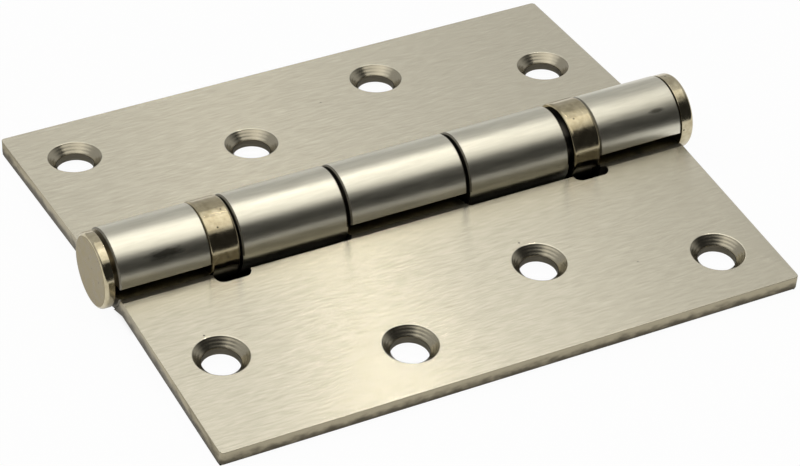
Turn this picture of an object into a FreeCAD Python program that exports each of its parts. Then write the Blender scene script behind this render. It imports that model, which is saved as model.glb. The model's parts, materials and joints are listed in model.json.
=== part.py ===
# Ball bearing butt hinge, opened flat and lying on its back with the countersunk faces up.
# Two leaves of one plate thickness are swaged down beside the barrel and rolled round a plain pin.
# Two small thrust bearings, each in a nickel casing, carry the swinging leaf endwise.
# +X runs along the pin, +Y towards the leaf with two knuckles, +Z up. Lengths are millimetres.
# The origin is the middle of the underside: the casings and both outer edges touch z = 0.

import FreeCAD, Part
import math
import os

# Driving dimensions of the leaves
leaf_width = 43.4            # from the pin axis to the outer edge
leaf_thickness = 2.7
face_drop = 1.47             # the screw face lies this far below the pin axis
plate_corner_radius = 0.6
swage_start = 7.05           # from the pin axis to the bend between plate and swage
swage_bend_radius = 1.0      # inside radius of that bend
notch_depth = 7.5            # from the pin axis to the edge that clears the other leaf's knuckles
notch_corner_radius = 0.8
relief_depth = 9.0           # deeper cut-out beside a bearing
relief_corner_radius = 1.5
near_relief_overrun = 0.85   # the near leaf's left relief runs this far past the bearing
near_relief_start = 0.45     # its right relief starts this far inside the bearing
near_relief_undercut = 0.9   # and reaches this far under the end knuckle
far_relief_overrun = 0.3     # the far leaf's reliefs run this far past the bearings

# Driving dimensions of the barrel
knuckle_radius = 6.47
roll_end_angle = 3.0         # degrees from the leaf's plane to the end of the roll
roll_end_rounding = 0.3
knuckle_end_chamfer = 0.25
end_knuckle_length = 15.6
inner_knuckle_length = 18.4
middle_knuckle_length = 21.0
knuckle_gap = 0.6
left_bearing_length = 5.35   # from the end knuckle to the inner knuckle
right_bearing_length = 6.05

# Screw holes, countersunk for a flat head, in a zigzag
screw_hole_radius = 3.1
countersink_radius = 4.5
countersink_half_angle = 45.0
holes_per_leaf = 4
outer_hole_inset = 10.35     # from the outer edge to the outer holes
inner_hole_inset = 19.4      # from the outer edge to the inner holes
first_hole_offset = 8.95     # from the end of the leaf to the first outer hole
hole_pitch = 27.85

# Pin, its head and the plug at its other end
running_clearance = 0.05
plug_clearance = 0.01
head_radius = 6.2
head_thickness = 1.6
head_gap = 0.7               # the head stands this far off the end knuckle
plug_radius = 6.4
plug_thickness = 2.4
plug_gap = 0.15
plug_stem_length = 6.0
pin_to_plug_gap = 0.5
button_edge_rounding = 0.6
pin_tip_chamfer = 0.6

# Thrust bearings
casing_step = 0.13           # the casing stands this much proud of the knuckles
casing_wall = 0.55
casing_floor = 0.6
casing_floor_bore = 4.4
casing_back_rounding = 0.4   # at the side that sits on the end knuckle
casing_rim_rounding = 0.5
casing_length = 5.0
race_thickness = 1.5
race_bore_clearance = 0.1
race_seat_clearance = 0.02
race_turning_clearance = 0.2
race_neck_radius = 4.6       # the facing race's neck, which reaches the knuckle it faces
ball_radius = 0.8
ball_clearance = 0.05
groove_depth = 0.2
balls_per_bearing = 8
cage_thickness = 0.6
cage_bore_clearance = 0.15
cage_rim_clearance = 0.07
cage_pocket_clearance = 0.07

# Sizes that follow
bore_radius = knuckle_radius - leaf_thickness
pin_radius = bore_radius - running_clearance
casing_radius = knuckle_radius + casing_step
casing_bore = casing_radius - casing_wall
pin_height = max(casing_radius, knuckle_radius)
relief_root = (knuckle_radius + notch_depth) / 2
race_spacing = 2 * (ball_radius + ball_clearance - groove_depth)
ball_plane = casing_floor + race_thickness + race_spacing / 2
race_bore = pin_radius + race_bore_clearance
race_seat_radius = casing_bore - race_seat_clearance
ball_pitch_radius = (race_bore + race_seat_radius) / 2

# Places along the barrel, from the left end of the leaves
left_bearing_start = end_knuckle_length
left_inner_start = left_bearing_start + left_bearing_length
middle_start = left_inner_start + inner_knuckle_length + knuckle_gap
right_inner_start = middle_start + middle_knuckle_length + knuckle_gap
right_bearing_start = right_inner_start + inner_knuckle_length
right_end_start = right_bearing_start + right_bearing_length
leaf_length = right_end_start + end_knuckle_length
overall_left = -head_gap - head_thickness
overall_right = leaf_length + plug_gap + plug_thickness
middle_x = (overall_left + overall_right) / 2

# Both leaves droop a little, so that their outer edges touch what the barrel lies on
back_drop = face_drop + leaf_thickness
droop = math.asin(pin_height / math.hypot(leaf_width, back_drop)) - math.atan2(back_drop, leaf_width)

TO_ROW = FreeCAD.Vector(-middle_x, 0, pin_height)
PIN_DIRECTION = FreeCAD.Vector(1, 0, 0)
CENTRE = FreeCAD.Vector(0, 0, 0)
BIG = 4 * knuckle_radius
upright_angle = 25.0         # an edge within this many degrees of Z stands upright


def save(shape, node):
    """Move a shape from the pin's frame to the part's frame and write it."""
    placed = shape.copy()
    placed.translate(TO_ROW)
    if not placed.isValid():
        raise ValueError("invalid solid: " + node)
    placed.exportStep("parts/" + node + ".step")
    print(node, len(placed.Solids), round(placed.Volume, 3))


def polar(radius, angle):
    """Point at a radius and an angle in radians in the section across the pin."""
    return (radius * math.cos(angle), radius * math.sin(angle))


def section_point(side, point):
    """A point of the section, with its first coordinate towards the leaf's own side."""
    return FreeCAD.Vector(0, side * point[0], point[1])


def section_arc(side, centre, radius, start, end):
    """Arc of the section about a centre, from one angle to another."""
    points = []
    for angle in (start, (start + end) / 2, end):
        across, up = polar(radius, angle)
        points.append(section_point(side, (centre[0] + across, centre[1] + up)))
    return Part.Arc(*points).toShape()


def swage_geometry():
    """Slope of the swage, and the centre and place of its bend, from the line tangent to the roll."""
    mid_radius = (knuckle_radius + bore_radius) / 2
    mid_drop = face_drop + leaf_thickness / 2
    distance = math.hypot(swage_start, mid_drop)
    slope = math.asin(mid_radius / distance) - math.atan2(mid_drop, swage_start)
    bend_start = swage_start + (swage_bend_radius + leaf_thickness / 2) * math.tan(slope / 2)
    bend_centre = (bend_start, -back_drop - swage_bend_radius)
    return slope, bend_centre


def leaf_section(side):
    """Closed outline of plate, swage and roll, seen along the pin."""
    slope, bend = swage_geometry()
    plate_angle = math.pi / 2
    swage_angle = plate_angle + slope
    low_angle = slope - math.pi / 2
    end_angle = math.radians(roll_end_angle)
    rounding = roll_end_rounding
    outer_mid = knuckle_radius - rounding
    inner_mid = bore_radius + rounding
    outer_turn = math.asin(rounding / outer_mid)
    inner_turn = math.asin(rounding / inner_mid)
    outer_centre = polar(outer_mid, end_angle + outer_turn)
    inner_centre = polar(inner_mid, end_angle + inner_turn)
    face_side = end_angle - math.pi / 2
    outer_flat = polar(math.sqrt(outer_mid ** 2 - rounding ** 2), end_angle)
    inner_flat = polar(math.sqrt(inner_mid ** 2 - rounding ** 2), end_angle)
    face_radius = swage_bend_radius + leaf_thickness
    back_bend = polar(swage_bend_radius, swage_angle)
    face_bend = polar(face_radius, swage_angle)

    def line(start, end):
        return Part.makeLine(section_point(side, start), section_point(side, end))

    def bend_point(offset):
        return (bend[0] + offset[0], bend[1] + offset[1])

    full_turn = 2 * math.pi
    edges = [
        line((leaf_width, -face_drop), (leaf_width, -back_drop)),
        line((leaf_width, -back_drop), (bend[0], -back_drop)),
        section_arc(side, bend, swage_bend_radius, plate_angle, swage_angle),
        line(bend_point(back_bend), polar(knuckle_radius, low_angle)),
        section_arc(side, (0, 0), knuckle_radius, low_angle, end_angle + outer_turn - full_turn),
        section_arc(side, outer_centre, rounding, end_angle + outer_turn, face_side),
        line(outer_flat, inner_flat),
        section_arc(side, inner_centre, rounding, face_side, end_angle + inner_turn - math.pi),
        section_arc(side, (0, 0), bore_radius, end_angle + inner_turn - full_turn, low_angle),
        line(polar(bore_radius, low_angle), bend_point(face_bend)),
        section_arc(side, bend, face_radius, swage_angle, plate_angle),
        line((bend[0], -face_drop), (leaf_width, -face_drop)),
    ]
    return Part.Wire(edges)


def stands_upright(edge):
    """Whether an edge runs along Z or nearly so."""
    return abs(edge.tangentAt(edge.FirstParameter).z) > math.cos(math.radians(upright_angle))


def window(side, start, end, root, depth, corner_radius):
    """Cutter for one notch or relief, from a root near the pin to its depth, with rounded inner corners."""
    corner = FreeCAD.Vector(start, min(side * root, side * depth), -BIG)
    box = Part.makeBox(end - start, depth - root, 2 * BIG, corner)
    inner_corners = []
    for edge in box.Edges:
        if stands_upright(edge) and abs(edge.CenterOfMass.y - side * depth) < corner_radius / 2:
            inner_corners.append(edge)
    return box.makeFillet(corner_radius, inner_corners)


def knuckle_end_cutter(x, inward):
    """Ring that breaks the outer rim of a knuckle's end; inward is the way into the knuckle."""
    size = knuckle_end_chamfer
    outside = knuckle_radius + size
    rim = FreeCAD.Vector(x, 0, knuckle_radius - size)
    wall = FreeCAD.Vector(x + inward * size, 0, knuckle_radius)
    near_corner = FreeCAD.Vector(x + inward * size, 0, outside)
    far_corner = FreeCAD.Vector(x - inward * size, 0, outside)
    far_rim = FreeCAD.Vector(x - inward * size, 0, knuckle_radius - size)
    return Part.Face(Part.makePolygon([rim, wall, near_corner, far_corner, far_rim, rim]))


def rolled_sweep(side, face):
    """Turn a cutter's face round the rolled part of a knuckle only, from under the pin to its end."""
    slope, _ = swage_geometry()
    start = 180 + side * math.degrees(slope)
    turn = side * (360 - 90 - math.degrees(slope) + roll_end_angle)
    turned_face = face.copy()
    turned_face.rotate(CENTRE, PIN_DIRECTION, start)
    return turned_face.revolve(CENTRE, PIN_DIRECTION, turn)


def screw_hole(x, y):
    """Countersunk hole through the plate, drilled from the screw face."""
    sink_depth = (countersink_radius - screw_hole_radius) / math.tan(math.radians(countersink_half_angle))
    above = leaf_thickness
    slope = math.tan(math.radians(countersink_half_angle))
    floor = FreeCAD.Vector(x, y, -face_drop - sink_depth)
    cone = Part.makeCone(
        screw_hole_radius, countersink_radius + above * slope, sink_depth + above, floor)
    bottom = FreeCAD.Vector(x, y, -back_drop - above)
    drill = Part.makeCylinder(screw_hole_radius, back_drop + above, bottom)
    return cone.fuse(drill)


def hole_places(side):
    """Centres of the four holes: outer and inner in turn, the other leaf the same turned end for end."""
    places = []
    for index in range(holes_per_leaf):
        inset = inner_hole_inset if index % 2 else outer_hole_inset
        x = first_hole_offset + index * hole_pitch
        if side < 0:
            x = leaf_length - x
        places.append((x, side * (leaf_width - inset)))
    return places


def rolled_leaf(side, knuckles, reliefs):
    """One leaf: the rolled section along the whole length, then its notches, holes and rounded ends."""
    leaf = Part.Face(leaf_section(side)).extrude(FreeCAD.Vector(leaf_length, 0, 0))
    corners = []
    for edge in leaf.Edges:
        if stands_upright(edge) and abs(abs(edge.CenterOfMass.y) - leaf_width) < plate_corner_radius / 2:
            corners.append(edge)
    leaf = leaf.makeFillet(plate_corner_radius, corners)

    cutters = []
    notch_start = -BIG
    for start, end in knuckles + [(leaf_length + BIG, None)]:
        if start > 0:
            cutters.append(window(side, notch_start, start, -BIG, notch_depth, notch_corner_radius))
        notch_start = end
    for start, end in reliefs:
        cutters.append(window(side, start, end, relief_root, relief_depth, relief_corner_radius))
    for x, y in hole_places(side):
        cutters.append(screw_hole(x, y))
    for start, end in knuckles:
        cutters.append(rolled_sweep(side, knuckle_end_cutter(start, 1)))
        cutters.append(rolled_sweep(side, knuckle_end_cutter(end, -1)))
    for cutter in cutters:
        leaf = leaf.cut(cutter)
    leaf.rotate(CENTRE, PIN_DIRECTION, -side * math.degrees(droop))
    return leaf.Solids[0] if len(leaf.Solids) == 1 else leaf


def turned(points):
    """Solid of revolution about the pin, from (place along the pin, radius) corners."""
    corners = [FreeCAD.Vector(x, 0, radius) for x, radius in points]
    profile = Part.Face(Part.makePolygon(corners + corners[:1]))
    return profile.revolve(CENTRE, PIN_DIRECTION, 360)


def round_rims(solid, rims):
    """Round the circular edges named by (place along the pin, edge radius, rounding)."""
    for place, edge_radius, rounding in rims:
        chosen = []
        for edge in solid.Edges:
            is_circle = isinstance(edge.Curve, Part.Circle)
            if not is_circle or abs(edge.Curve.Radius - edge_radius) > rounding / 10:
                continue
            if abs(edge.Curve.Center.x - place) < rounding / 10:
                chosen.append(edge)
        solid = solid.makeFillet(rounding, chosen)
    return solid


def hinge_pin():
    """Shaft with the left button as its head."""
    tip = leaf_length - plug_stem_length - pin_to_plug_gap
    inner_face = -head_gap
    outer_face = inner_face - head_thickness
    pin = turned([
        (outer_face, 0), (outer_face, head_radius), (inner_face, head_radius), (inner_face, pin_radius),
        (tip - pin_tip_chamfer, pin_radius), (tip, pin_radius - pin_tip_chamfer), (tip, 0),
    ])
    return round_rims(pin, [(outer_face, head_radius, button_edge_rounding)])


def pin_plug():
    """Right button, with a stem that closes the end knuckle's bore."""
    inner_face = leaf_length + plug_gap
    outer_face = inner_face + plug_thickness
    stem_end = leaf_length - plug_stem_length
    stem_radius = bore_radius - plug_clearance
    plug = turned([
        (outer_face, 0), (outer_face, plug_radius), (inner_face, plug_radius), (inner_face, stem_radius),
        (stem_end, stem_radius), (stem_end, 0),
    ])
    return round_rims(plug, [(outer_face, plug_radius, button_edge_rounding)])


def bearing_casing(start, way):
    """Nickel cup that sits on an end knuckle and holds the bearing."""
    rim = start + way * casing_length
    casing = turned([
        (start, casing_floor_bore), (start, casing_radius), (rim, casing_radius), (rim, casing_bore),
        (start + way * casing_floor, casing_bore), (start + way * casing_floor, casing_floor_bore),
    ])
    return round_rims(casing, [
        (start, casing_radius, casing_back_rounding),
        (rim, casing_radius, casing_rim_rounding),
    ])


def ball_groove(x):
    """Ring that cuts the ball groove of a race, a little larger than the balls."""
    centre = FreeCAD.Vector(x, 0, 0)
    return Part.makeTorus(ball_pitch_radius, ball_radius + ball_clearance, centre, PIN_DIRECTION)


def casing_race(start, way):
    """Hardened washer on the casing's floor."""
    back = start + way * casing_floor
    front = back + way * race_thickness
    washer = turned([
        (back, race_bore), (back, race_seat_radius), (front, race_seat_radius), (front, race_bore),
    ])
    return washer.cut(ball_groove(start + way * ball_plane))


def facing_race(start, way, bearing_length):
    """Opposite washer, with a neck that bears on the other leaf's knuckle."""
    front = start + way * (casing_floor + race_thickness + race_spacing)
    shoulder = front + way * race_thickness
    neck = start + way * bearing_length
    outer = casing_bore - race_turning_clearance
    washer = turned([
        (front, race_bore), (front, outer), (shoulder, outer),
        (shoulder, race_neck_radius), (neck, race_neck_radius), (neck, race_bore),
    ])
    return washer.cut(ball_groove(start + way * ball_plane))


def ball_centres(start, way):
    """Centres of one bearing's balls, evenly round the pin."""
    centres = []
    for index in range(balls_per_bearing):
        across, up = polar(ball_pitch_radius, 2 * math.pi * index / balls_per_bearing)
        centres.append(FreeCAD.Vector(start + way * ball_plane, across, up))
    return centres


def ball_cage(start, way):
    """Flat ring with a pocket for each ball."""
    middle = start + way * ball_plane
    low = middle - cage_thickness / 2
    high = middle + cage_thickness / 2
    inner = pin_radius + cage_bore_clearance
    outer = casing_bore - cage_rim_clearance
    cage = turned([(low, inner), (low, outer), (high, outer), (high, inner)])
    for centre in ball_centres(start, way):
        pocket_start = FreeCAD.Vector(low - cage_thickness, centre.y, centre.z)
        pocket = Part.makeCylinder(
            ball_radius + cage_pocket_clearance, 3 * cage_thickness, pocket_start, PIN_DIRECTION)
        cage = cage.cut(pocket)
    return cage


def ball(centre):
    """One ball, with its poles along the pin."""
    sphere = Part.makeSphere(ball_radius)
    sphere.rotate(CENTRE, FreeCAD.Vector(0, 1, 0), 90)
    sphere.translate(centre)
    return sphere


os.makedirs("parts", exist_ok=True)

three_knuckles = [
    (0, end_knuckle_length),
    (middle_start, middle_start + middle_knuckle_length),
    (right_end_start, leaf_length),
]
two_knuckles = [
    (left_inner_start, left_inner_start + inner_knuckle_length),
    (right_inner_start, right_bearing_start),
]
near_reliefs = [
    (left_bearing_start, left_inner_start + near_relief_overrun),
    (right_bearing_start + near_relief_start, right_end_start + near_relief_undercut),
]
far_reliefs = [
    (left_bearing_start - far_relief_overrun, left_inner_start),
    (right_bearing_start, right_end_start + far_relief_overrun),
]
save(rolled_leaf(-1, three_knuckles, near_reliefs), "three_knuckle_leaf")
save(rolled_leaf(1, two_knuckles, far_reliefs), "two_knuckle_leaf")
save(hinge_pin(), "hinge_pin")
save(pin_plug(), "pin_plug")

bearings = [
    ("left", left_bearing_start, 1, left_bearing_length),
    ("right", right_end_start, -1, right_bearing_length),
]
for name, start, way, bearing_length in bearings:
    save(bearing_casing(start, way), name + "_bearing_casing")
    save(casing_race(start, way), name + "_casing_race")
    save(facing_race(start, way, bearing_length), name + "_facing_race")
    save(ball_cage(start, way), name + "_ball_cage")
    for number, centre in enumerate(ball_centres(start, way), 1):
        save(ball(centre), name + "_ball_" + str(number))
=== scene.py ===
# %% [markdown]
# A ball bearing butt hinge in steel, opened flat
#
# The hinge is pressed, rolled and polished metal, so nearly all of its look is reflection. The lesson
# keeps the solids that already have the right form and works on three things: edges that catch the
# light, metals that are brushed, burnished, sheared or turned, and a plain soft studio to reflect.

import json
import math

import bmesh
import bpy
import numpy as np
from mathutils import Matrix, Vector


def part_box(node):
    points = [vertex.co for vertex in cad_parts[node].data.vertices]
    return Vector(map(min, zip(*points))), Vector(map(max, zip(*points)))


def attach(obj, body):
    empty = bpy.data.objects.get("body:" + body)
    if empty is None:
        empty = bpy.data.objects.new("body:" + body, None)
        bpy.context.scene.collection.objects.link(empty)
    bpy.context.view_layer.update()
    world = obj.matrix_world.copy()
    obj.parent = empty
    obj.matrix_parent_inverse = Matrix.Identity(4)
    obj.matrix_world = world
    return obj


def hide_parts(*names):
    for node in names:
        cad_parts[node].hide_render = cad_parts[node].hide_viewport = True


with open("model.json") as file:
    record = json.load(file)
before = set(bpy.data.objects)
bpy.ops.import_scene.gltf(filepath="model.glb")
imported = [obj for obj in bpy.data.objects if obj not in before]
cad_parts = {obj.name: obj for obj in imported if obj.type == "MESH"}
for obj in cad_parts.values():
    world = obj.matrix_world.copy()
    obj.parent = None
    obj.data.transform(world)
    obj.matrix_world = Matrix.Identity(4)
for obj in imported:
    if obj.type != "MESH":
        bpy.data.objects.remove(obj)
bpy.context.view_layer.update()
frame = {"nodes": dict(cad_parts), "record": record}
MM = 0.001

# %% [markdown]
# The sizes below are read from the solids, so the looks follow the construction. The barrel's top gives
# the knuckle radius, the casings give the height of the pin, and the mounts give the screw holes and the
# small angle at which each leaf droops to the floor.

# %% Sizes read from the solids
casing_low, casing_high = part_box("left_bearing_casing")
PIN_Z = (casing_low.z + casing_high.z) / 2
CASING_RADIUS = (casing_high.z - casing_low.z) / 2
KNUCKLE_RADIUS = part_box("three_knuckle_leaf")[1].z - PIN_Z
MOUNTS = {mount["name"]: mount for mount in frame["record"]["mounts"]}
SIDES = {"three_knuckle_leaf": -1, "two_knuckle_leaf": 1}
BODIES = {"three_knuckle_leaf": "three_knuckle_side", "two_knuckle_leaf": "two_knuckle_side"}
back_normal = MOUNTS["two_knuckle_leaf_back"]["axis"]
DROOP = math.asin(abs(back_normal[1]))
SCREW_RADIUS = MOUNTS["two_knuckle_leaf_outer_screws"]["dims"]["hole_r_mm"] * MM
print("knuckle radius", round(KNUCKLE_RADIUS / MM, 2), "droop", round(math.degrees(DROOP), 2))


def turn_to_leaf(vectors, side):
    """Directions in one leaf's own axes: along the pin, away from the pin, up from the screw face."""
    across = side * vectors[:, 1]
    outward = across * math.cos(DROOP) - vectors[:, 2] * math.sin(DROOP)
    upward = across * math.sin(DROOP) + vectors[:, 2] * math.cos(DROOP)
    return np.stack([vectors[:, 0], outward, upward], axis=1)


def to_leaf(points, side):
    """Points in one leaf's own axes, measured from the pin."""
    return turn_to_leaf(points - np.array([0, 0, PIN_Z]), side)


def hole_centres(leaf):
    """Row-frame centres of one leaf's four screw holes, from its two bolt patterns."""
    centres = []
    for row in ("outer", "inner"):
        mount = MOUNTS[f"{leaf}_{row}_screws"]
        half = mount["dims"]["pcd_mm"] * MM / 2
        for shift in (-half, half):
            centres.append(np.array(mount["pos_m"]) + np.array([shift, 0, 0]))
    return np.array(centres)


# %% [markdown]
# Colours are written as the eye reads them on a screen and turned to linear light once. A link is a node
# with the name of one of its outputs. The helpers take links and give links, so a material reads as a
# list of what it is made of, and every size in it is in millimetres of real metal.

# %% Colour and node helpers
NOISE_SPAN = (0.3, 0.7)   # nearly all of a noise's values lie between these two
PIT_FADE = 1.6            # a pit's dark has faded out at this many times its radius


def linear(hex_colour):
    """sRGB hex to linear RGBA: the curve is a power of 2.4 above a short straight start."""
    values = [int(hex_colour[i:i + 2], 16) / 255 for i in (1, 3, 5)]
    curved = [((v + 0.055) / 1.055) ** 2.4 if v > 0.04045 else v / 12.92 for v in values]
    return (*curved, 1.0)


def feed(tree, node, **inputs):
    """Fill sockets with values or links; _ is a space in a socket's name, and i0 is a socket's number."""
    for name, value in inputs.items():
        numbered = name[0] == "i" and name[1:].isdigit()
        socket = node.inputs[int(name[1:]) if numbered else name.replace("_", " ")]
        if isinstance(value, tuple) and isinstance(value[0], bpy.types.Node):
            tree.links.new(value[0].outputs[value[1]], socket)
        else:
            socket.default_value = value


def add(tree, kind, settings=None, **inputs):
    """Add a node with its settings and fill its sockets."""
    node = tree.nodes.new(kind)
    for name, value in (settings or {}).items():
        setattr(node, name, value)
    feed(tree, node, **inputs)
    return node


def new_surface(name, **even):
    """A material with one Principled shader, whose even values go on its own sockets."""
    material = bpy.data.materials.new(name)
    material.use_nodes = True
    tree = material.node_tree
    shader = tree.nodes["Principled BSDF"]
    feed(tree, shader, **even)
    return material, tree, shader


def new_metal(name, **even):
    """A metal, which the eye knows by its coloured reflections."""
    return new_surface(name, Metallic=1.0, **even)


def arithmetic(tree, operation, first, second=0.0):
    """One step of arithmetic on one or two values."""
    return add(tree, "ShaderNodeMath", {"operation": operation}, i0=first, i1=second), "Value"


def remap(tree, value, start, end, low=0.0, high=1.0, kind="LINEAR"):
    """Turn start to end into low to high, and hold the last values beyond."""
    node = add(tree, "ShaderNodeMapRange", {"interpolation_type": kind}, Value=value,
               From_Min=start, From_Max=end, To_Min=low, To_Max=high)
    return node, "Result"


def placed(tree, scale, shift=(0.0, 0.0, 0.0)):
    """The place on the object, scaled and shifted."""
    place = add(tree, "ShaderNodeTexCoord")
    return add(tree, "ShaderNodeMapping", Vector=(place, "Object"), Location=shift, Scale=scale), "Vector"


def stretched_noise(tree, grain_mm, detail=2.0, wander=0.0):
    """Noise whose grains have a length along the pin, a width across and a height, in millimetres."""
    scale = tuple(1 / (size * MM) for size in grain_mm)
    noise = add(tree, "ShaderNodeTexNoise", Vector=placed(tree, scale), Scale=1.0, Detail=detail,
                Distortion=wander)
    return noise, "Fac"


def spread(tree, noise, low, high):
    """Map the middle of a noise to a range of values."""
    return remap(tree, noise, *NOISE_SPAN, low, high)


def tone(tree, share, low, high):
    """Blend two colours by a share; each is a hex colour or another blend."""
    low, high = (linear(colour) if isinstance(colour, str) else colour for colour in (low, high))
    return add(tree, "ShaderNodeMix", {"data_type": "RGBA"}, i0=share, i6=low, i7=high), 2


def noise_tone(tree, noise, low, high):
    """Blend two colours across the middle of a noise, so that both of them show."""
    return tone(tree, spread(tree, noise, 0.0, 1.0), low, high)


def relief(tree, height, strength, depth_mm):
    """Marks of a depth in millimetres, which bend the light with a strength."""
    return add(tree, "ShaderNodeBump", Strength=strength, Distance=depth_mm * MM, Height=height), "Normal"


def pits(tree, spacing_mm, radius_mm):
    """1 in small round pits scattered about a spacing apart, else 0."""
    place = placed(tree, (1 / (spacing_mm * MM),) * 3)
    cells = add(tree, "ShaderNodeTexVoronoi", Vector=place, Scale=1.0)
    share = radius_mm / spacing_mm
    return remap(tree, (cells, "Distance"), share, PIT_FADE * share, 1.0, 0.0)


def brushing(tree):
    """The direction across the scratches, from the UV map that each leaf carries."""
    return add(tree, "ShaderNodeTangent", {"direction_type": "UV_MAP", "uv_map": "brushing"}), "Tangent"


# %% [markdown]
# The plate is satin nickel on steel, brushed along the pin. Brushing leaves fine scratches, so light
# spreads across them and makes a soft bright band that runs from edge to edge. The shader's full
# anisotropy gives the band. Stretched noises give the scratches, mostly as colour, because deep relief
# would break the band into grains. A slow noise blends coarse and fine lines into cloudy patches.

# %% Satin plate
SCRATCH_MM = (3.0, 0.32, 0.32)   # coarser than a real 240 grit line, so that it shows at this size
HAIR_MM = (2.2, 0.14, 0.14)      # finer lines, which keep close views from looking smooth
CLOUD_MM = (16.0, 9.0, 9.0)      # patches about as large as a fingertip
HAIR_HEIGHT = 0.6                # share of the scratches' relief


def satin_plate():
    """Warm grey metal that shows fine lines, a few specks and a soft band of light."""
    material, tree, shader = new_metal("satin_nickel_plate", Anisotropic=1.0)
    scratches = stretched_noise(tree, SCRATCH_MM, 3.0, 0.2)
    hairs = stretched_noise(tree, HAIR_MM, 2.0)
    clouds = stretched_noise(tree, CLOUD_MM)
    streaked = noise_tone(tree, scratches, "#D9D2BC", "#E9E2CD")
    combed = noise_tone(tree, hairs, "#D8D1BB", "#EAE3CE")
    brushed = tone(tree, clouds, streaked, combed)
    colour = tone(tree, pits(tree, 8.0, 0.13), brushed, "#7A7466")
    height = arithmetic(tree, "ADD", scratches, arithmetic(tree, "MULTIPLY", hairs, HAIR_HEIGHT))
    feed(tree, shader, Base_Color=colour, Roughness=spread(tree, scratches, 0.21, 0.265),
         Normal=relief(tree, height, 0.17, 0.02), Tangent=brushing(tree))
    return material


# %% [markdown]
# The knuckles are the same steel, but rolling and tumbling have burnished them, so they mirror the
# lamps. Long low waves bend that mirror image, and each end knuckle has a dark smear of old oil. The
# other steel shows what made it: the press left the swage rough and the countersinks keep the tool's
# rings. The swage, the knuckles' chamfers, the lower parts of the edges, the countersinks, the holes
# and the notches are painted darker, as painted shade.

# %% Burnished, pressed, sheared and turned steel
STREAK_MM = (5.0, 0.6, 0.6)
LONG_WAVE_MM = (7.0, 3.0, 3.0)
SMEARS = (
    ((-42.6, -5.2, 10.5), (3.4, 0.8, 0.8), "#57544A"),
    ((46.5, -4.5, 11.25), (1.6, 0.4, 0.4), "#6B675B"),
)   # middle and half size in mm, and colour
SMEAR_GRAIN_MM = (1.6, 0.35, 0.35)
SMEAR_BORDER = (1.6, 1.0)   # from no smear to full smear, in half sizes plus the ragged noise
SMEAR_DARKEST = 0.8
SHADE_LINE_WANDER = 0.22          # how far the line where the painted reflection starts strays, as a share of the plate
SHADE_SPAN = (0.2, 0.85)     # where the painted reflection starts and is complete, from the screw face down
TOOL_PITCH_MM = 0.4


def smear(tree, centre_mm, half_mm):
    """1 in the middle of a smear and 0 outside it, with a ragged border."""
    scale = tuple(1 / (half * MM) for half in half_mm)
    shift = tuple(-centre * MM * factor for centre, factor in zip(centre_mm, scale))
    away = add(tree, "ShaderNodeVectorMath", {"operation": "LENGTH"}, i0=placed(tree, scale, shift))
    reach = arithmetic(tree, "ADD", (away, "Value"), stretched_noise(tree, SMEAR_GRAIN_MM, 3.0))
    return remap(tree, reach, *SMEAR_BORDER, 0.0, SMEAR_DARKEST)


def burnished_knuckle():
    """Brighter and smoother steel, whose mirror image wavers along the barrel."""
    material, tree, shader = new_metal("burnished_knuckle_steel", Anisotropic=0.2)
    streaks = stretched_noise(tree, STREAK_MM, 2.0)
    waves = stretched_noise(tree, LONG_WAVE_MM, 1.0)
    colour = noise_tone(tree, streaks, "#CBC7B6", "#D8D4C3")
    for centre_mm, half_mm, dark in SMEARS:
        colour = tone(tree, smear(tree, centre_mm, half_mm), colour, dark)
    feed(tree, shader, Base_Color=colour, Roughness=spread(tree, streaks, 0.28, 0.315),
         Normal=relief(tree, waves, 0.3, 0.06), Tangent=brushing(tree))
    return material


def pressed_swage():
    """Rough steel with short press marks; its dark grey colour is painted shade, on the bend by the barrel
    and on the knuckles' chamfers.
    """
    material, tree, shader = new_metal("pressed_swage_steel", Roughness=0.5)
    marks = stretched_noise(tree, (1.2, 0.3, 0.3), 4.0)
    # Painted shade: the swage's colour is much darker than the plate's.
    feed(tree, shader, Base_Color=tone(tree, marks, "#625E54", "#9A9586"),
         Normal=relief(tree, marks, 0.25, 0.05))
    return material


def sheared_edge():
    """The lower part of the sheared edge is painted darker than the upper part, as a painted reflection of
    the shaded table below it.
    """
    material, tree, shader = new_metal("sheared_plate_edge", Roughness=0.42)
    depth = add(tree, "ShaderNodeAttribute", {"attribute_name": "edge_depth"})
    blotches = stretched_noise(tree, (2.4, 2.4, 1.2), 4.0)
    grit = stretched_noise(tree, (0.5, 0.5, 0.4), 3.0)
    stray = spread(tree, blotches, -SHADE_LINE_WANDER, SHADE_LINE_WANDER)
    line = arithmetic(tree, "ADD", (depth, "Fac"), stray)
    shade_below = remap(tree, line, *SHADE_SPAN, kind="SMOOTHSTEP")
    # Painted reflection: the edge is darker below a wandering line.
    feed(tree, shader, Base_Color=tone(tree, shade_below, "#B0A78F", "#615B4D"),
         Normal=relief(tree, grit, 0.3, 0.08))
    return material


def painted_shade_seam():
    """The walls of the notches and the ends of the knuckles are painted dark, as painted shade between the
    knuckles.
    """
    material, tree, shader = new_metal("notch_steel_painted_shade", Roughness=0.5)
    shade_mottle = stretched_noise(tree, (3.0, 1.0, 1.0), 3.0)
    feed(tree, shader, Base_Color=tone(tree, shade_mottle, "#2C2A26", "#4A463F"))
    return material


def turned_countersink():
    """Rings a fixed pitch apart, drawn from the distance to the hole's own axis."""
    # The cone's colour is darker than the plate's as painted shade inside the countersink.
    material, tree, shader = new_metal("turned_countersink_steel", Base_Color=linear("#A8A18E"),
                                       Roughness=0.24)
    reach = add(tree, "ShaderNodeAttribute", {"attribute_name": "axis_distance"})
    phase = arithmetic(tree, "MULTIPLY", (reach, "Fac"), 2 * math.pi / (TOOL_PITCH_MM * MM))
    rings = arithmetic(tree, "SINE", phase)
    feed(tree, shader, Normal=relief(tree, rings, 0.2, 0.02))
    return material


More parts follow.
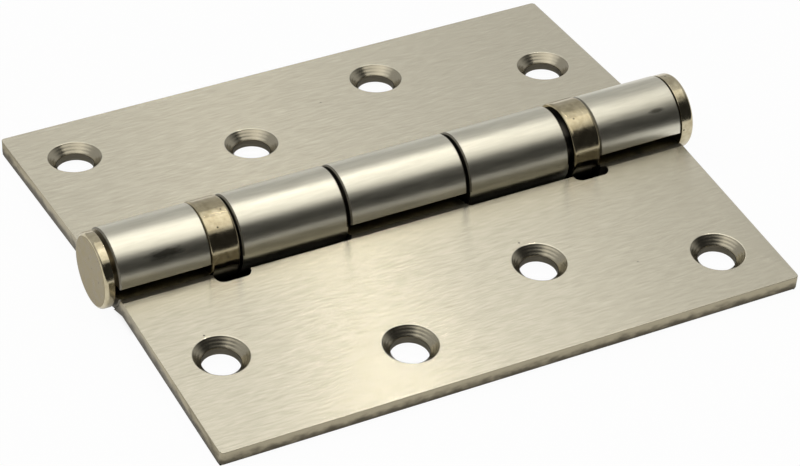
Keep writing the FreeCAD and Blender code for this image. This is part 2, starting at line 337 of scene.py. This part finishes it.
def drilled_wall():
    """The drilled part of a screw hole is rougher than the turned cone above it, and its colour is painted
    darker as painted shade inside the hole.
    """
    material, tree, shader = new_metal("drilled_hole_steel", Roughness=0.45)
    rings = stretched_noise(tree, (2.0, 2.0, 0.15), 2.0)
    feed(tree, shader, Base_Color=tone(tree, rings, "#5D584D", "#8E897B"))
    return material


# %% [markdown]
# The bearing casings and the two buttons are bright nickel with a warm brown tint. It is smoother than
# the steel, so its highlights are small and its dark parts are deep. A fine mottle in colour, roughness
# and relief keeps it from looking like clean chrome.

# %% Tinted nickel, and the steel of the hidden bearing
NICKEL_GLOSS = (0.8, 1.35)   # least and most roughness across the mottle, as shares of the mean
GROUND_GLOSS = (0.8, 1.3)    # the same across grinding lines


def tinted_nickel(name, roughness, low, high):
    """Bright nickel with a brown tint that is cloudy and has a few pits."""
    material, tree, shader = new_metal(name)
    mottle = stretched_noise(tree, (1.1, 1.1, 1.1), 4.0)
    clean = noise_tone(tree, mottle, low, high)
    feed(tree, shader, Base_Color=tone(tree, pits(tree, 2.2, 0.12), clean, "#4E483A"),
         Roughness=spread(tree, mottle, *(roughness * share for share in NICKEL_GLOSS)),
         Normal=relief(tree, mottle, 0.12, 0.05))
    return material


def ground_steel(name, colour, roughness):
    """Hidden steel whose grinding lines only vary its gloss."""
    material, tree, shader = new_metal(name, Base_Color=linear(colour))
    lines = stretched_noise(tree, (0.1, 0.8, 0.8), 2.0)
    feed(tree, shader, Roughness=spread(tree, lines, *(roughness * share for share in GROUND_GLOSS)))
    return material


PLATE = satin_plate()
KNUCKLE = burnished_knuckle()
SWAGE = pressed_swage()
EDGE = sheared_edge()
SINK = turned_countersink()
SEAM = painted_shade_seam()
DRILLED = drilled_wall()
RIM = tinted_nickel("button_rim_nickel", 0.14, "#B0A588", "#C9BFA3")
BUTTON = tinted_nickel("button_face_nickel", 0.32, "#7E7150", "#948763")
CASING = tinted_nickel("casing_nickel", 0.15, "#A4987A", "#BAAF92")
BEARING = ground_steel("hardened_bearing_steel", "#6F6C66", 0.2)
CAGE = ground_steel("stamped_cage_steel", "#A2A2A0", 0.3)

# %% [markdown]
# Real sheet metal has no perfectly sharp edge. Each leaf is copied from its solid, its doubled points are
# merged, and a narrow bevel eases the plate's outer edges and the rims of the holes, so that they draw
# the thin bright lines that make metal look solid. The lower edges are eased more, as the press draws
# them in. The flat faces then get one normal each, and every face gets its finish by where it is: plate,
# roll, swage, edge, countersink, notch or hole.

# %% Leaves with eased edges and a finish for each face
SHEAR_ROUNDING = 0.45 * MM    # the press draws the plate's lower edge in by about this much
CRISP_SHARE = 0.2             # share of that rounding which the upper edge and the holes keep
WELD = 0.0005 * MM
SHARP = math.radians(28)      # two faces that meet at more than this show an edge
EASED_FROM = 9.2 * MM         # the notches nearer to the pin keep their own edges
UPRIGHT_RISE = 0.3 * MM       # an edge that rises more than this stands upright and stays crisp
SWAGE_END = 7.46 * MM         # where the bent part of the plate ends, from the pin
ROLL_MARGIN = 0.05 * MM
PLATE_THICKNESS = 2.7 * MM
END_MARGIN = 1.0 * MM         # the plate's two short ends keep the edge finish and get no painted shade
SINK_RADIUS = 4.5 * MM
SINK_REACH = SINK_RADIUS + 0.25 * MM
SINK_RIM = SINK_RADIUS - 0.05 * MM
DRILLED_REACH = SCREW_RADIUS + 0.15 * MM
NEAR_HOLE = 1.1 * SINK_RADIUS
LEVEL_COSINE = 0.9999         # a face this level is part of a flat
FLAT_COSINE = 0.9             # a face this level belongs to the plate and not to its edge
END_COSINE = 0.75             # a face that looks along the pin more than this is a cut end
CHAMFER_COSINE = 0.5          # and more than this, a knuckle's chamfer, which tumbling left rough and which gets the swage's painted shade
UPRIGHT_COSINE = 0.3          # a face this upright is a wall
ROLL_REACH = 1.05 * KNUCKLE_RADIUS   # points nearer to the pin than this lie on the roll
UV_PER_METRE = 10
BRUSH_TURN = {"three_knuckle_leaf": 0.0, "two_knuckle_leaf": math.radians(3.0)}   # the belt ran askew
back_place = MOUNTS["two_knuckle_leaf_back"]["pos_m"]
BACK_LEVEL = float(to_leaf(np.array([back_place]), 1)[0, 2])
FACE_LEVEL = BACK_LEVEL + PLATE_THICKNESS
leaf_low, leaf_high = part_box("two_knuckle_leaf")
BETWEEN_ENDS = (leaf_high.x - leaf_low.x) / 2 - END_MARGIN
FINISHES = [PLATE, KNUCKLE, SWAGE, EDGE, SINK, SEAM, DRILLED]
IS_PLATE, IS_KNUCKLE, IS_SWAGE, IS_EDGE, IS_SINK, IS_SEAM, IS_DRILLED = range(len(FINISHES))


def vertex_array(mesh):
    """All points of a mesh as an array."""
    points = np.empty(len(mesh.vertices) * 3)
    mesh.vertices.foreach_get("co", points)
    return points.reshape(-1, 3)


def face_arrays(mesh):
    """Centres and normals of all faces as arrays."""
    count = len(mesh.polygons)
    centres = np.empty(count * 3)
    normals = np.empty(count * 3)
    mesh.polygons.foreach_get("center", centres)
    mesh.polygons.foreach_get("normal", normals)
    return centres.reshape(-1, 3), normals.reshape(-1, 3)


def corner_arrays(mesh):
    """The vertex of every face corner, and the first corner of every face."""
    corners = np.empty(len(mesh.loops), dtype=np.int32)
    starts = np.empty(len(mesh.polygons), dtype=np.int32)
    mesh.loops.foreach_get("vertex_index", corners)
    mesh.polygons.foreach_get("loop_start", starts)
    return corners, starts


def axis_distances(points, leaf):
    """Distance of each point from the nearest screw hole's axis, in the leaf's own axes."""
    local = to_leaf(points, SIDES[leaf])[:, :2]
    holes = to_leaf(hole_centres(leaf), SIDES[leaf])[:, :2]
    return np.linalg.norm(local[:, None, :] - holes[None, :, :], axis=2).min(axis=1)


def welded_copy(node):
    """Copy of a solid's mesh with its doubled points merged."""
    mesh = frame["nodes"][node].data.copy()
    mesh.name = node + "_eased"
    work = bmesh.new()
    work.from_mesh(mesh)
    bmesh.ops.remove_doubles(work, verts=work.verts, dist=WELD)
    work.to_mesh(mesh)
    work.free()
    mesh.materials.clear()
    for name in ("sharp_edge", "sharp_face", "custom_normal"):
        if name in mesh.attributes:
            mesh.attributes.remove(mesh.attributes[name])
    piece = bpy.data.objects.new(node + "_eased", mesh)
    bpy.context.scene.collection.objects.link(piece)
    return piece


def edge_easing(mesh, leaf):
    """Share of the widest easing for each edge: all below, a fifth above and at the holes, else none."""
    ends = np.empty(len(mesh.edges) * 2, dtype=np.int32)
    mesh.edges.foreach_get("vertices", ends)
    ends = ends.reshape(-1, 2)
    points = vertex_array(mesh)
    local = to_leaf(points, SIDES[leaf])[ends]
    work = bmesh.new()
    work.from_mesh(mesh)
    sharp = np.array([edge.calc_face_angle(0.0) > SHARP for edge in work.edges])
    work.free()
    above = local[:, :, 2].mean(axis=1) > (FACE_LEVEL + BACK_LEVEL) / 2
    at_hole = axis_distances(points, leaf)[ends].max(axis=1) < NEAR_HOLE
    upright = np.ptp(local[:, :, 2], axis=1) > UPRIGHT_RISE
    at_pin = local[:, :, 1].min(axis=1) < EASED_FROM
    share = np.where(above | at_hole, CRISP_SHARE, 1.0)
    share[upright | at_pin | ~sharp] = 0.0
    return share


def level_flats(mesh, leaf):
    """Give the plate's flat faces one normal each, so that long thin triangles can't shade them unevenly."""
    level = np.array([0.0, SIDES[leaf] * math.sin(DROOP), math.cos(DROOP)])
    upright = face_arrays(mesh)[1] @ level
    starts = corner_arrays(mesh)[1]
    of_face = np.repeat(np.arange(len(starts)), np.diff(np.append(starts, len(mesh.loops))))
    shown = np.empty(len(mesh.loops) * 3, dtype=np.float32)
    mesh.corner_normals.foreach_get("vector", shown)
    shown = shown.reshape(-1, 3)
    chosen = np.abs(upright)[of_face] > LEVEL_COSINE
    shown[chosen] = np.sign(upright)[of_face][chosen, None] * level
    mesh.normals_split_custom_set(shown.tolist())


def ease_edges(piece, leaf):
    """Bevel the chosen edges and keep the flats flat, then make the result the piece's own mesh."""
    mesh = piece.data
    weight = mesh.attributes.new("bevel_weight_edge", "FLOAT", "EDGE")
    weight.data.foreach_set("value", edge_easing(mesh, leaf).astype(np.float32))
    bevel = piece.modifiers.new("eased", "BEVEL")
    bevel.width = SHEAR_ROUNDING
    bevel.segments = 3
    bevel.limit_method = "WEIGHT"
    bevel.use_clamp_overlap = False
    bevel.loop_slide = False
    bevel.miter_outer = "MITER_SHARP"
    mesh.shade_smooth()
    mesh.set_sharp_from_angle(angle=SHARP)
    even = piece.modifiers.new("even_shading", "WEIGHTED_NORMAL")
    even.mode = "FACE_AREA"
    even.keep_sharp = True
    bpy.context.view_layer.update()
    evaluated = piece.evaluated_get(bpy.context.evaluated_depsgraph_get())
    finished = bpy.data.meshes.new_from_object(evaluated)
    piece.modifiers.clear()
    piece.data = finished
    level_flats(finished, leaf)
    return piece


def store(mesh, name, values):
    """Keep one value for each point, which a material reads by its name."""
    attribute = mesh.attributes.new(name, "FLOAT", "POINT")
    attribute.data.foreach_set("value", values.astype(np.float32))


def finish_leaf(mesh, leaf):
    """Give each face its finish from its place and normal in the leaf's own axes."""
    side = SIDES[leaf]
    centres, normals = face_arrays(mesh)
    points = vertex_array(mesh)
    outward = to_leaf(centres, side)[:, 1]
    along_way, _, up_way = np.abs(turn_to_leaf(normals, side)).T
    _, point_out, point_up = to_leaf(points, side).T
    corners, starts = corner_arrays(mesh)
    from_pin = np.maximum.reduceat(np.hypot(point_out, point_up)[corners], starts)
    to_hole = axis_distances(centres, leaf)
    flat = up_way > FLAT_COSINE
    bent = (outward <= SWAGE_END) & (along_way < END_COSINE)
    round_face = (from_pin < KNUCKLE_RADIUS + ROLL_MARGIN) & (along_way <= CHAMFER_COSINE)
    finish = np.full(len(centres), IS_EDGE)
    finish[flat & (outward > SWAGE_END)] = IS_PLATE
    # The faces near the pin that are not level get the seam's painted shade.
    finish[~flat & (outward < EASED_FROM) & (np.abs(centres[:, 0]) < BETWEEN_ENDS)] = IS_SEAM
    finish[bent] = IS_SWAGE
    finish[bent & round_face] = IS_KNUCKLE
    finish[(to_hole < SINK_REACH) & ~(flat & (to_hole > SINK_RIM))] = IS_SINK
    finish[(to_hole < DRILLED_REACH) & (up_way < UPRIGHT_COSINE)] = IS_DRILLED
    for material in FINISHES:
        mesh.materials.append(material)
    mesh.polygons.foreach_set("material_index", finish.astype(np.int32))
    store(mesh, "edge_depth", (FACE_LEVEL - point_up) / (FACE_LEVEL - BACK_LEVEL))
    store(mesh, "axis_distance", axis_distances(points, leaf))
    print(leaf, "faces by finish:", np.bincount(finish, minlength=len(FINISHES)).tolist())


def lay_uv(mesh, leaf):
    """UV map with U across the scratches and V along them: scratches spread light along U."""
    side = SIDES[leaf]
    along, outward, upward = to_leaf(vertex_array(mesh), side).T
    rolled = np.hypot(outward, upward) < ROLL_REACH
    across = side * np.where(rolled, np.arctan2(upward, outward) * KNUCKLE_RADIUS, outward)
    turn = BRUSH_TURN[leaf]
    u = across * math.cos(turn) - along * math.sin(turn)
    v = across * math.sin(turn) + along * math.cos(turn)
    corners = corner_arrays(mesh)[0]
    uv = np.stack([u[corners], v[corners]], axis=1) * UV_PER_METRE
    mesh.uv_layers.new(name="brushing").data.foreach_set("uv", uv.ravel())


for leaf in SIDES:
    piece = ease_edges(welded_copy(leaf), leaf)
    finish_leaf(piece.data, leaf)
    lay_uv(piece.data, leaf)
    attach(piece, BODIES[leaf])
    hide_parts(leaf)

# %% [markdown]
# The casings and the buttons are turned again as fine meshes. Their outlines are the solids' own, with
# their outer corners drawn as arcs, and numpy sweeps them round the pin. A casing is a pressed shell, so its
# wall is dented by a few hundredths of a millimetre, which is enough to bend the reflections.

# %% Turned casings and buttons
TURN_STEPS = 192
ARC_STEPS = 7
RUN_OUT = 1.15                # a ring just before and after each arc keeps the straight parts straight
BUTTON_ROUNDING = 0.6 * MM
CASING_BACK_ROUNDING = 0.4 * MM
CASING_RIM_ROUNDING = 0.5 * MM
FINE_ROUNDING = 0.08 * MM
CASING_WALL = 0.55 * MM
CASING_FLOOR = 0.6 * MM
CASING_FLOOR_BORE = 4.4 * MM
HEAD_THICKNESS = 1.6 * MM
PLUG_THICKNESS = 2.4 * MM
PIN_CHAMFER = 0.6 * MM
DENT_DEPTH = 0.024 * MM       # mean depth of the dents; the deepest reach twice as far
DENT_FADE = 0.4 * MM          # the dents fade out over the rounded rims
BROAD_DENTS = 3               # dents round the shell, with smaller ones among them
SMALL_DENTS = 8
SMALL_SHARE = 0.6
SQUARE_COSINE = 0.97          # a face that looks along the pin this much is the end of a button
AT_FACE = 0.01 * MM           # the points of a face count up to this far from it
PAST_FACE = 0.1 * MM          # and no longer beyond this
TURNED_BODY = "three_knuckle_side"


def radius_between(node, start, end):
    """Largest distance from the pin's axis among a solid's points between two places along it."""
    points = vertex_array(frame["nodes"][node].data)
    inside = (points[:, 0] > start) & (points[:, 0] < end)
    return float(np.hypot(points[inside, 1], points[inside, 2] - PIN_Z).max())


def rounded_outline(corners):
    """Outline through corners given as (place along the pin, radius, rounding); each rounding is an arc."""
    outline = []
    for index, (along, radius, rounding) in enumerate(corners):
        corner = np.array([along, radius])
        if rounding == 0:
            outline.append(corner)
            continue
        before = np.array(corners[index - 1][:2]) - corner
        after = np.array(corners[(index + 1) % len(corners)][:2]) - corner
        before = before / np.linalg.norm(before) * rounding
        after = after / np.linalg.norm(after) * rounding
        outline.append(corner + RUN_OUT * before)
        for angle in np.linspace(0, math.pi / 2, ARC_STEPS):
            outline.append(corner + before + after - after * math.cos(angle) - before * math.sin(angle))
        outline.append(corner + RUN_OUT * after)
    return np.array(outline)


def turned_mesh(name, outline, closed, dent):
    """Sweep an outline round the pin; dents go into the outer wall and never past the solid."""
    turn = np.linspace(0, 2 * math.pi, TURN_STEPS, endpoint=False)[None, :]
    along = outline[:, :1]
    broad = np.sin(BROAD_DENTS * turn + along / MM)
    small = SMALL_SHARE * np.sin(SMALL_DENTS * turn - 2 * along / MM)
    lift = (broad + small) / (1 + SMALL_SHARE) - 1
    on_wall = np.clip(1 - (outline[:, 1:].max() - outline[:, 1:]) / DENT_FADE, 0, 1)
    radius = outline[:, 1:] + dent * lift * on_wall
    points = np.stack([along + 0 * turn, radius * np.cos(turn), radius * np.sin(turn) + PIN_Z], axis=2)
    here = np.arange(TURN_STEPS)
    beside = np.roll(here, -1)
    rings = len(outline)
    faces = []
    for ring in range(rings if closed else rings - 1):
        low = ring * TURN_STEPS
        high = (ring + 1) % rings * TURN_STEPS
        faces.append(np.stack([low + here, low + beside, high + beside, high + here], axis=1))
    mesh = bpy.data.meshes.new(name)
    mesh.from_pydata(points.reshape(-1, 3).tolist(), [], np.concatenate(faces).tolist())
    work = bmesh.new()
    work.from_mesh(mesh)
    bmesh.ops.remove_doubles(work, verts=work.verts, dist=WELD)
    bmesh.ops.recalc_face_normals(work, faces=work.faces)
    work.to_mesh(mesh)
    work.free()
    mesh.shade_smooth()
    mesh.set_sharp_from_angle(angle=SHARP)
    return mesh


def turned_piece(node, corners, finishes, closed=False, dent=0.0):
    """A turned mesh that stands for a solid; a second finish goes on the faces square to the pin."""
    mesh = turned_mesh(node + "_turned", rounded_outline(corners), closed, dent)
    for material in finishes:
        mesh.materials.append(material)
    if len(finishes) > 1:
        square = np.abs(face_arrays(mesh)[1][:, 0]) > SQUARE_COSINE
        mesh.polygons.foreach_set("material_index", square.astype(np.int32))
    piece = bpy.data.objects.new(node + "_turned", mesh)
    bpy.context.scene.collection.objects.link(piece)
    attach(piece, TURNED_BODY)
    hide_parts(node)


for node, way in (("left_bearing_casing", 1), ("right_bearing_casing", -1)):
    low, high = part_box(node)
    back, rim = (low.x, high.x) if way == 1 else (high.x, low.x)
    bore = CASING_RADIUS - CASING_WALL
    floor = back + way * CASING_FLOOR
    turned_piece(node, [
        (back, CASING_FLOOR_BORE, 0), (back, CASING_RADIUS, CASING_BACK_ROUNDING),
        (rim, CASING_RADIUS, CASING_RIM_ROUNDING), (rim, bore, 0),
        (floor, bore, 0), (floor, CASING_FLOOR_BORE, 0),
    ], [CASING], True, DENT_DEPTH)

pin_low, pin_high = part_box("hinge_pin")
head = pin_low.x + HEAD_THICKNESS
head_radius = radius_between("hinge_pin", pin_low.x - PAST_FACE, head + AT_FACE)
shaft_radius = radius_between("hinge_pin", head + PAST_FACE, pin_high.x)
turned_piece("hinge_pin", [
    (pin_low.x, 0, 0), (pin_low.x, head_radius, BUTTON_ROUNDING), (head, head_radius, FINE_ROUNDING),
    (head, shaft_radius, 0), (pin_high.x - PIN_CHAMFER, shaft_radius, 0),
    (pin_high.x, shaft_radius - PIN_CHAMFER, 0), (pin_high.x, 0, 0),
], [RIM, BUTTON])

plug_low, plug_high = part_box("pin_plug")
disc = plug_high.x - PLUG_THICKNESS
disc_radius = radius_between("pin_plug", disc - AT_FACE, plug_high.x + PAST_FACE)
stem_radius = radius_between("pin_plug", plug_low.x - PAST_FACE, disc - PAST_FACE)
turned_piece("pin_plug", [
    (plug_high.x, 0, 0), (plug_high.x, disc_radius, BUTTON_ROUNDING), (disc, disc_radius, FINE_ROUNDING),
    (disc, stem_radius, 0), (plug_low.x, stem_radius, 0), (plug_low.x, 0, 0),
], [RIM, BUTTON])
print("head, shaft, disc, stem radii, mm:",
      [round(value / MM, 3) for value in (head_radius, shaft_radius, disc_radius, stem_radius)])

# %% Finishes of the pieces that keep their solids
def dress(node, material):
    """Give a solid its finish through its object's own material slots."""
    piece = frame["nodes"][node]
    if not piece.material_slots:
        piece.data.materials.append(None)
    for slot in piece.material_slots:
        slot.link = "OBJECT"
        slot.material = material


for node in frame["nodes"]:
    if node.endswith("cage"):
        dress(node, CAGE)
    elif "race" in node or "ball_" in node:
        dress(node, BEARING)

# %% [markdown]
# The studio is a white table under one wide soft lamp, with a small lamp high at the back right whose
# reflection makes the bright band across the brushed leaves. The room is pale at the far side and dim
# behind the camera, and the dim side is what the polished barrel shows as its dark band.

# %% Studio: table, room and lamps
TABLE_SIDE = 6.0
PAPER_WHITE = 0.96            # share of the table seen as plain white; the rest shows the light
PAINTED_SHADOW_STRIP_MM = (47, 6, 4)  # half length, half width and soft border of the painted shadow under the barrel
UNDER_HINGE_MM = (48, 40, 8)  # the same for the part of the table that the hinge shades
CARD_LOW = (-0.9, -1.3)
CARD_HIGH = (0.9, -0.15)
CARD_LIFT = 0.0005
ROOM_BEHIND_CAMERA = -0.45    # the room is dim where its direction's Y is below this
ROOM_OVERHEAD = 0.15          # and pale where it is above this


def flat_sheet(name, low, high, height):
    """One flat rectangle as a grid of two by two points, at a height above the floor."""
    x, y = np.meshgrid([low[0], high[0]], [low[1], high[1]])
    points = np.stack([x.ravel(), y.ravel(), np.full(4, height)], axis=1)
    mesh = bpy.data.meshes.new(name)
    mesh.from_pydata(points.tolist(), [], [(0, 1, 3, 2)])
    sheet = bpy.data.objects.new(name, mesh)
    bpy.context.scene.collection.objects.link(sheet)
    return sheet


def paper(name, **even):
    """Matt paper."""
    return new_surface(name, Roughness=0.9, **even)


def outside(tree, parts, half_x, half_y, soft):
    """1 outside a rectangle about the origin and 0 inside it, with a soft border, all in mm."""
    masks = []
    for axis, half in (("X", half_x), ("Y", half_y)):
        away = arithmetic(tree, "ABSOLUTE", (parts, axis))
        masks.append(remap(tree, away, half * MM, (half + soft) * MM, kind="SMOOTHSTEP"))
    return arithmetic(tree, "MAXIMUM", *masks)


def white_table():
    """White paper: eyes and metal see it near white, but not where the hinge shades it; under the barrel its
    colour is a painted shadow, near black.
    """
    floor = flat_sheet("studio_table", (-TABLE_SIDE / 2,) * 2, (TABLE_SIDE / 2,) * 2, 0.0)
    material, tree, shader = paper("white_table_paper", Specular_IOR_Level=0.1)
    place = add(tree, "ShaderNodeTexCoord")
    parts = add(tree, "ShaderNodeSeparateXYZ", Vector=(place, "Object"))
    barrel = outside(tree, parts, *PAINTED_SHADOW_STRIP_MM)
    hinge = outside(tree, parts, *UNDER_HINGE_MM)
    # Painted shadow: the paper's colour is near black in the strip under the barrel.
    feed(tree, shader, Base_Color=tone(tree, barrel, "#141413", "#E9E9E7"))
    path = add(tree, "ShaderNodeLightPath")
    eye = arithmetic(tree, "MULTIPLY", (path, "Is Camera Ray"), barrel)
    mirror = arithmetic(tree, "MAXIMUM", (path, "Is Glossy Ray"), (path, "Is Transmission Ray"))
    metal = arithmetic(tree, "MULTIPLY", mirror, hinge)
    seen = arithmetic(tree, "MAXIMUM", eye, metal)
    share = arithmetic(tree, "MULTIPLY", seen, PAPER_WHITE)
    white = add(tree, "ShaderNodeEmission", Color=linear("#FFFFFF"), Strength=1.0)
    mix = add(tree, "ShaderNodeMixShader", Fac=share, i1=(shader, 0), i2=(white, 0))
    feed(tree, tree.nodes["Material Output"], Surface=(mix, 0))
    floor.data.materials.append(material)


def black_card():
    """The card that photographers lay before polished metal; it darkens what the barrel mirrors."""
    card = flat_sheet("black_card", CARD_LOW, CARD_HIGH, CARD_LIFT)
    card.data.materials.append(paper("black_card_paper", Base_Color=linear("#1C1C1C"))[0])
    card.visible_camera = False
    card.visible_diffuse = False


def room(pale, dim):
    """Room light that goes from dim behind the camera to pale overhead and at the far side."""
    world = bpy.data.worlds.new("studio_room")
    bpy.context.scene.world = world
    world.use_nodes = True
    tree = world.node_tree
    tree.nodes.clear()
    place = add(tree, "ShaderNodeTexCoord")
    parts = add(tree, "ShaderNodeSeparateXYZ", Vector=(place, "Generated"))
    shade = remap(tree, (parts, "Y"), ROOM_BEHIND_CAMERA, ROOM_OVERHEAD, dim, pale, "SMOOTHSTEP")
    light = add(tree, "ShaderNodeBackground", Color=linear("#FFFFFF"), Strength=shade)
    add(tree, "ShaderNodeOutputWorld", Surface=(light, 0))


def lamp(name, position_mm, target_mm, size_mm, radiance, colour):
    """A rectangular soft lamp; its power is radiance times area times pi, so size leaves its tone."""
    data = bpy.data.lights.new(name, "AREA")
    data.shape = "RECTANGLE"
    data.size = size_mm[0] * MM
    data.size_y = size_mm[1] * MM
    data.energy = radiance * math.pi * data.size * data.size_y
    data.color = linear(colour)[:3]
    light = bpy.data.objects.new(name, data)
    bpy.context.scene.collection.objects.link(light)
    start = Vector(position_mm) * MM
    way = Vector(target_mm) * MM - start
    light.matrix_world = Matrix.Translation(start) @ way.to_track_quat("-Z", "Y").to_matrix().to_4x4()


white_table()
black_card()
room(pale=0.58, dim=0.03)
# The wide lamp gives the plate its even tone, and the strip the bright line along the barrel.
lamp("overhead_soft_lamp", (-300, -110, 1100), (-300, -110, 0), (1850, 1560), 0.68, "#FFFFFF")
lamp("overhead_strip_lamp", (-100, -250, 1050), (-100, -250, 0), (1500, 750), 0.7, "#FFFBF2")
# The scratches draw this small lamp out into the band.
lamp("back_right_lamp", (457, 325, 1127), (0, 0, 0), (30, 30), 90.0, "#FFFAF0")

# %% [markdown]
# The camera stands where the photographer stood. Its place was solved from the leaves' edges, the eight
# holes and the ends of the knuckles, and it looks at a point on the pin's level with a slight roll.

# %% Camera
CAMERA_AZIMUTH = -29.402
CAMERA_ELEVATION = 37.472
CAMERA_ROLL = 3.074
CAMERA_DISTANCE_MM = 503.44
CAMERA_TARGET_MM = (-4.728, -11.236)
FOCAL_PIXELS = 3168.09
FRAME_WIDTH = 800
SENSOR_MM = 36


def stand_camera():
    """Camera from azimuth, elevation, roll and distance; its back vector points away from the target."""
    turn, lift, roll = (math.radians(a) for a in (CAMERA_AZIMUTH, CAMERA_ELEVATION, CAMERA_ROLL))
    back = Vector((math.sin(turn) * math.cos(lift), -math.cos(turn) * math.cos(lift), math.sin(lift)))
    level = Vector((math.cos(turn), math.sin(turn), 0))
    upright = back.cross(level)
    right = level * math.cos(roll) + upright * math.sin(roll)
    up = upright * math.cos(roll) - level * math.sin(roll)
    target = Vector((*CAMERA_TARGET_MM, PIN_Z / MM)) * MM
    data = bpy.data.cameras.new("photo_camera")
    data.sensor_width = SENSOR_MM
    data.lens = FOCAL_PIXELS * SENSOR_MM / FRAME_WIDTH
    camera = bpy.data.objects.new("photo_camera", data)
    bpy.context.scene.collection.objects.link(camera)
    place = Matrix((right, up, back)).transposed().to_4x4()
    place.translation = target + back * CAMERA_DISTANCE_MM * MM
    camera.matrix_world = place
    bpy.context.scene.camera = camera


stand_camera()
bpy.context.scene.view_settings.view_transform = "Standard"
